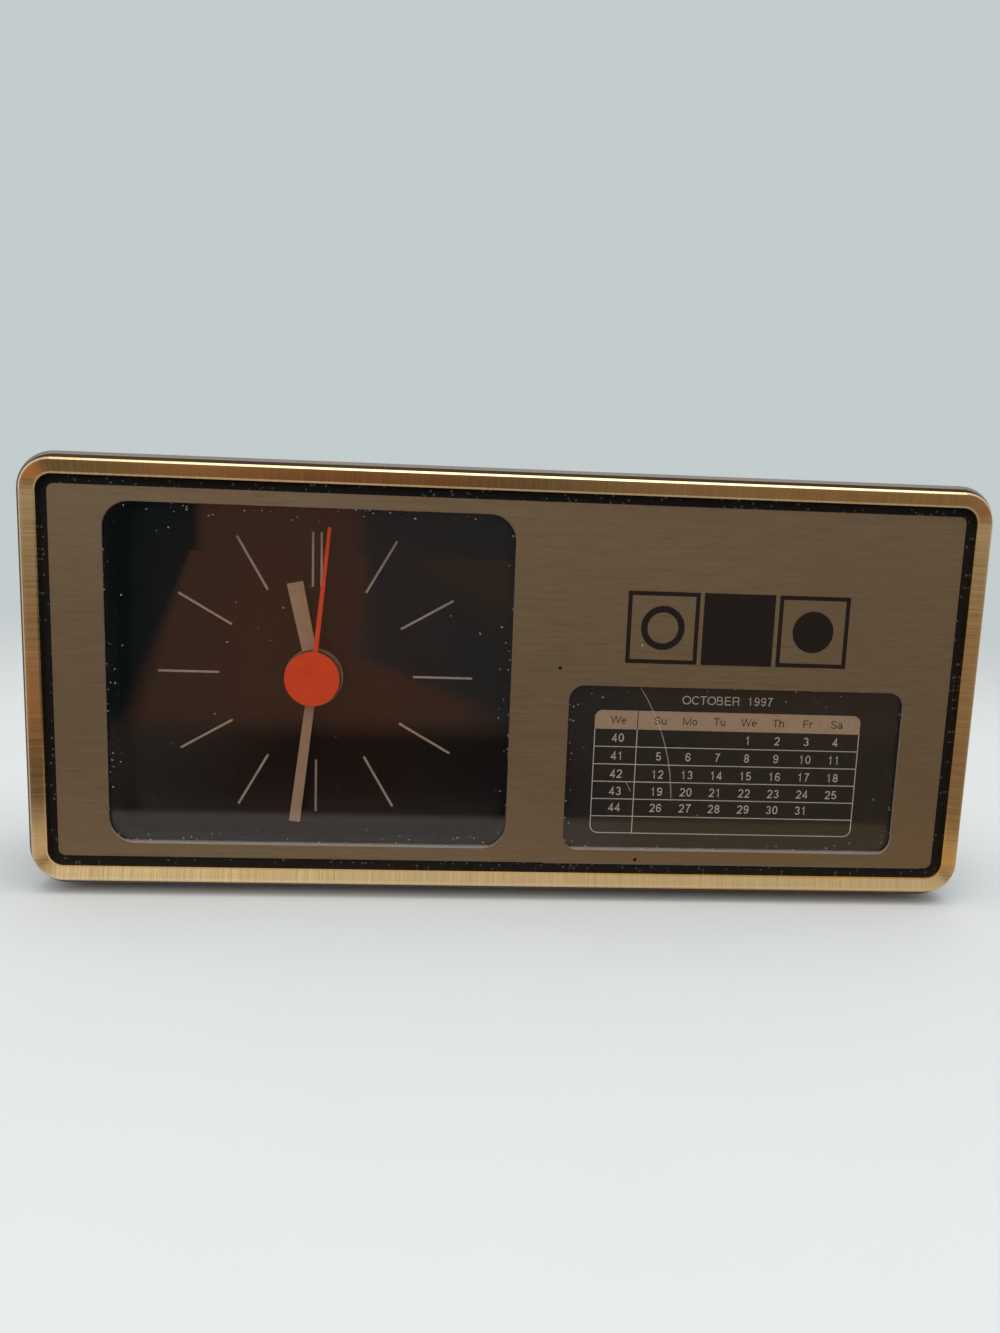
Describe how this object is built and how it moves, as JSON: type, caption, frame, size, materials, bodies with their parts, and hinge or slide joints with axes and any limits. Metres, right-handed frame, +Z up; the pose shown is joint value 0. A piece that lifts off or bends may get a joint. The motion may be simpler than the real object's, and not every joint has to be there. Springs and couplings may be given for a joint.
{
  "type": "desk clock with calendar",
  "caption": "Low desk clock in a gold-rimmed black case: square quartz dial on the left, month card in a window on the right.",
  "frame": {"origin": "middle of the feet's resting plane, under the middle of the clock's box", "axes": "+X to the viewer's right, +Y away from the viewer towards the back, +Z up"},
  "size_m": [0.1826, 0.038, 0.0829],
  "materials": {
    "case_black": "moulded, fine satin",
    "rubber_black": "matt",
    "screw_steel": "zinc plated",
    "bezel_gold": "gold anodised, satin",
    "plate_bronze": "bronze anodised, brushed",
    "lens_clear": "clear, polished",
    "card_black": "printed, smooth",
    "spring_steel": "rolled",
    "dial_black": "glossy brown-black lacquer",
    "marker_tan": "satin",
    "hand_tan": "satin",
    "hand_red": "semi-gloss orange-red",
    "cap_red": "semi-gloss orange-red",
    "wheel_white": "natural acetal",
    "magnet_dark": "bonded magnet, smooth",
    "knob_black": "moulded",
    "movement_black": "moulded",
    "nut_brass": "machined",
    "stator_iron": "stamped",
    "coil_copper": "enamelled wire",
    "board_brown": "phenolic board",
    "crystal_can": "polished",
    "battery_jacket": "plain film jacket",
    "contact_nickel": "nickel plated"
  },
  "bodies": {
    "case": {"front_frame": "case_black", "rear_case": "case_black", "rubber_feet": "rubber_black", "case_screws": "screw_steel", "bezel_ring": "bezel_gold", "face_plate": "plate_bronze", "dial_lens": "lens_clear", "calendar_lens": "lens_clear", "card_spring": "spring_steel", "dial_plate": "dial_black", "hour_markers": "marker_tan", "movement_housing": "movement_black", "movement_cover": "movement_black", "fixing_nut": "nut_brass", "rubber_washer": "rubber_black", "stator": "stator_iron", "coil_core": "stator_iron", "coil": "coil_copper", "circuit_board": "board_brown", "quartz_crystal": "crystal_can", "battery_contact_plus": "contact_nickel", "battery_contact_minus": "contact_nickel"},
    "rotor": {"rotor_pinion": "wheel_white", "rotor_magnet": "magnet_dark"},
    "relay": {"relay_wheel": "wheel_white"},
    "seconds": {"second_wheel": "wheel_white", "second_hand": "hand_red", "second_cap": "cap_red"},
    "third": {"third_wheel": "wheel_white"},
    "centre": {"centre_wheel": "wheel_white"},
    "minutes": {"cannon_pinion": "wheel_white", "minute_hand": "hand_tan"},
    "motion": {"motion_wheel": "wheel_white"},
    "hours": {"hour_wheel": "wheel_white", "hour_hand": "hand_tan"},
    "setting": {"time_set_knob": "knob_black"},
    "battery": {"battery": "battery_jacket"},
    "month_card": {"calendar_card": "card_black"},
    "stored_cards": {"spare_cards": "card_black"}
  },
  "joints": [
    {"name": "rotor_turn", "type": "hinge", "parent": "case", "child": "rotor", "pos_m": [-0.03214, 0, 0.0549], "axis": [0, 1, 0], "continuous": true},
    {"name": "relay_turn", "type": "hinge", "parent": "case", "child": "relay", "pos_m": [-0.0382, 0, 0.0514], "axis": [0, 1, 0], "continuous": true},
    {"name": "second_turn", "type": "hinge", "parent": "case", "child": "seconds", "pos_m": [-0.0382, 0, 0.0422], "axis": [0, 1, 0], "continuous": true},
    {"name": "third_turn", "type": "hinge", "parent": "case", "child": "third", "pos_m": [-0.0292, 0, 0.0422], "axis": [0, 1, 0], "continuous": true},
    {"name": "centre_turn", "type": "hinge", "parent": "case", "child": "centre", "pos_m": [-0.0382, 0, 0.0422], "axis": [0, 1, 0], "continuous": true},
    {"name": "minute_turn", "type": "hinge", "parent": "case", "child": "minutes", "pos_m": [-0.0382, 0, 0.0422], "axis": [0, 1, 0], "continuous": true},
    {"name": "motion_turn", "type": "hinge", "parent": "case", "child": "motion", "pos_m": [-0.0472, 0, 0.0422], "axis": [0, 1, 0], "continuous": true},
    {"name": "hour_turn", "type": "hinge", "parent": "case", "child": "hours", "pos_m": [-0.0382, 0, 0.0422], "axis": [0, 1, 0], "continuous": true},
    {"name": "setting_turn", "type": "hinge", "parent": "case", "child": "setting", "pos_m": [-0.05499, 0, 0.0467], "axis": [0, 1, 0], "continuous": true},
    {"name": "battery_slide", "type": "slide", "parent": "case", "child": "battery", "axis": [0, 1, 0], "range_m": [0, 0.027]},
    {"name": "month_card_slide", "type": "slide", "parent": "case", "child": "month_card", "axis": [1, 0, 0], "range_m": [0, 0.084]},
    {"name": "stored_cards_slide", "type": "slide", "parent": "case", "child": "stored_cards", "axis": [1, 0, 0], "range_m": [0, 0.084]}
  ],
  "couplings": [
    {"joint": "relay_turn", "follows": "rotor_turn", "ratio": -0.16667},
    {"joint": "second_turn", "follows": "rotor_turn", "ratio": 0.033333},
    {"joint": "third_turn", "follows": "rotor_turn", "ratio": -0.0044444},
    {"joint": "centre_turn", "follows": "rotor_turn", "ratio": 0.00055556},
    {"joint": "motion_turn", "follows": "minute_turn", "ratio": -0.33333},
    {"joint": "hour_turn", "follows": "minute_turn", "ratio": 0.083333},
    {"joint": "setting_turn", "follows": "minute_turn", "ratio": 1}
  ]
}
